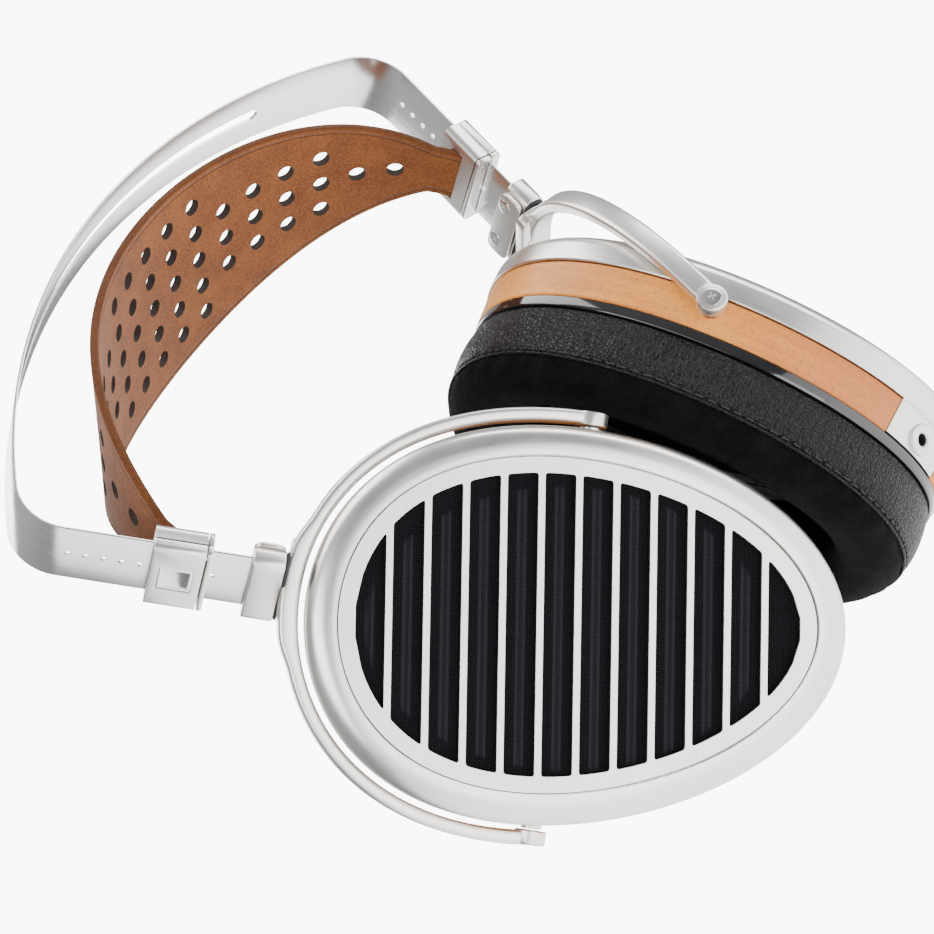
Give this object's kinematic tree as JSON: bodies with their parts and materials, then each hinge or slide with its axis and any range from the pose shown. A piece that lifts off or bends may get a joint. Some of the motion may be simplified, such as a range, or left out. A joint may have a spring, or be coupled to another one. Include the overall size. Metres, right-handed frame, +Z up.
{
  "type": "over-ear headphones",
  "caption": "Open-backed over-ear headphones: sprung metal headband, punched suede head strap on sliders, swivelling yokes and tilting egg-shaped cups with slatted grilles and wood bands.",
  "frame": {"origin": "on the underside of the head strap, in the plane of the headband, midway between the arms", "axes": "+Z up, -Y the way the wearer looks, +X the wearer's left; the stored pose has the right cup swivelled 56 degrees and the left one 15 degrees to the front"},
  "size_m": [0.1899, 0.1058, 0.2268],
  "materials": {
    "satin_metal": "fine satin, warm white",
    "spring_steel": "satin",
    "screw_chrome": "polished",
    "golden_veneer": "satin lacquer",
    "brown_suede": "suede, punched",
    "black_pad": "grained",
    "gloss_black": "gloss",
    "black_gasket": "matt",
    "dark_mesh": "woven, matt",
    "driver_black": "matt",
    "magnet_black": "matt",
    "white_socket": "gloss"
  },
  "bodies": {
    "headband": {"headband_spring": "spring_steel", "hinge_block_left": "satin_metal", "hinge_cover_left": "satin_metal", "hinge_gasket_left": "black_gasket", "swivel_pin_left": "screw_chrome", "clamp_screw_1_left": "screw_chrome", "clamp_screw_2_left": "screw_chrome", "hinge_block_right": "satin_metal", "hinge_cover_right": "satin_metal", "hinge_gasket_right": "black_gasket", "swivel_pin_right": "screw_chrome", "clamp_screw_1_right": "screw_chrome", "clamp_screw_2_right": "screw_chrome"},
    "strap": {"head_strap": "brown_suede"},
    "slider_left": {"slider_outer_left": "satin_metal", "slider_inner_left": "satin_metal", "slider_end_outer_left": "satin_metal", "slider_end_inner_left": "satin_metal", "slider_screw_outer_1_left": "screw_chrome", "slider_screw_outer_2_left": "screw_chrome", "slider_screw_inner_1_left": "screw_chrome", "slider_screw_inner_2_left": "screw_chrome", "detent_ball_left": "screw_chrome"},
    "yoke_left": {"yoke_left": "satin_metal", "pivot_screw_front_left": "screw_chrome", "pivot_screw_back_left": "screw_chrome"},
    "cup_left": {"cup_shell_left": "satin_metal", "wood_band_left": "golden_veneer", "jack_socket_left": "white_socket", "grille_left": "satin_metal", "grille_mesh_left": "dark_mesh", "driver_frame_left": "driver_black", "magnet_array_left": "magnet_black", "diaphragm_left": "driver_black", "baffle_left": "gloss_black", "ear_pad_left": "black_pad"},
    "slider_right": {"slider_outer_right": "satin_metal", "slider_inner_right": "satin_metal", "slider_end_outer_right": "satin_metal", "slider_end_inner_right": "satin_metal", "slider_screw_outer_1_right": "screw_chrome", "slider_screw_outer_2_right": "screw_chrome", "slider_screw_inner_1_right": "screw_chrome", "slider_screw_inner_2_right": "screw_chrome", "detent_ball_right": "screw_chrome"},
    "yoke_right": {"yoke_right": "satin_metal", "pivot_screw_front_right": "screw_chrome", "pivot_screw_back_right": "screw_chrome"},
    "cup_right": {"cup_shell_right": "satin_metal", "wood_band_right": "golden_veneer", "jack_socket_right": "white_socket", "grille_right": "satin_metal", "grille_mesh_right": "dark_mesh", "driver_frame_right": "driver_black", "magnet_array_right": "magnet_black", "diaphragm_right": "driver_black", "baffle_right": "gloss_black", "ear_pad_right": "black_pad"}
  },
  "joints": [
    {"name": "strap_height", "type": "slide", "parent": "headband", "child": "strap", "axis": [0, 0, 1], "range_m": [-0.00808, 0.00808], "deforming": ["head_strap"]},
    {"name": "slider_run_left", "type": "slide", "parent": "strap", "child": "slider_left", "axis": [1, 0, 0], "range_m": [-0.00369, 0.00369]},
    {"name": "yoke_swivel_left", "type": "hinge", "parent": "headband", "child": "yoke_left", "pos_m": [0.07, 0, -0.07808], "axis": [0.3971, 0, 0.9178], "range_deg": [-5, 24]},
    {"name": "cup_tilt_left", "type": "hinge", "parent": "yoke_left", "child": "cup_left", "pos_m": [0.04398, -0.00039, -0.14186], "axis": [-0.2375, -0.9659, 0.1028], "range_deg": [-8, 10]},
    {"name": "slider_run_right", "type": "slide", "parent": "strap", "child": "slider_right", "axis": [1, 0, 0], "range_m": [-0.00369, 0.00369]},
    {"name": "yoke_swivel_right", "type": "hinge", "parent": "headband", "child": "yoke_right", "pos_m": [-0.07, 0, -0.07808], "axis": [-0.3971, 0, 0.9178], "range_deg": [-70, 34]},
    {"name": "cup_tilt_right", "type": "hinge", "parent": "yoke_right", "child": "cup_right", "pos_m": [-0.04342, -0.00124, -0.14162], "axis": [0.7609, -0.5592, 0.3293], "range_deg": [-32, 8]}
  ],
  "couplings": [
    {"joint": "slider_run_left", "follows": "strap_height", "ratio": 0.43274},
    {"joint": "slider_run_right", "follows": "strap_height", "ratio": -0.43274}
  ]
}
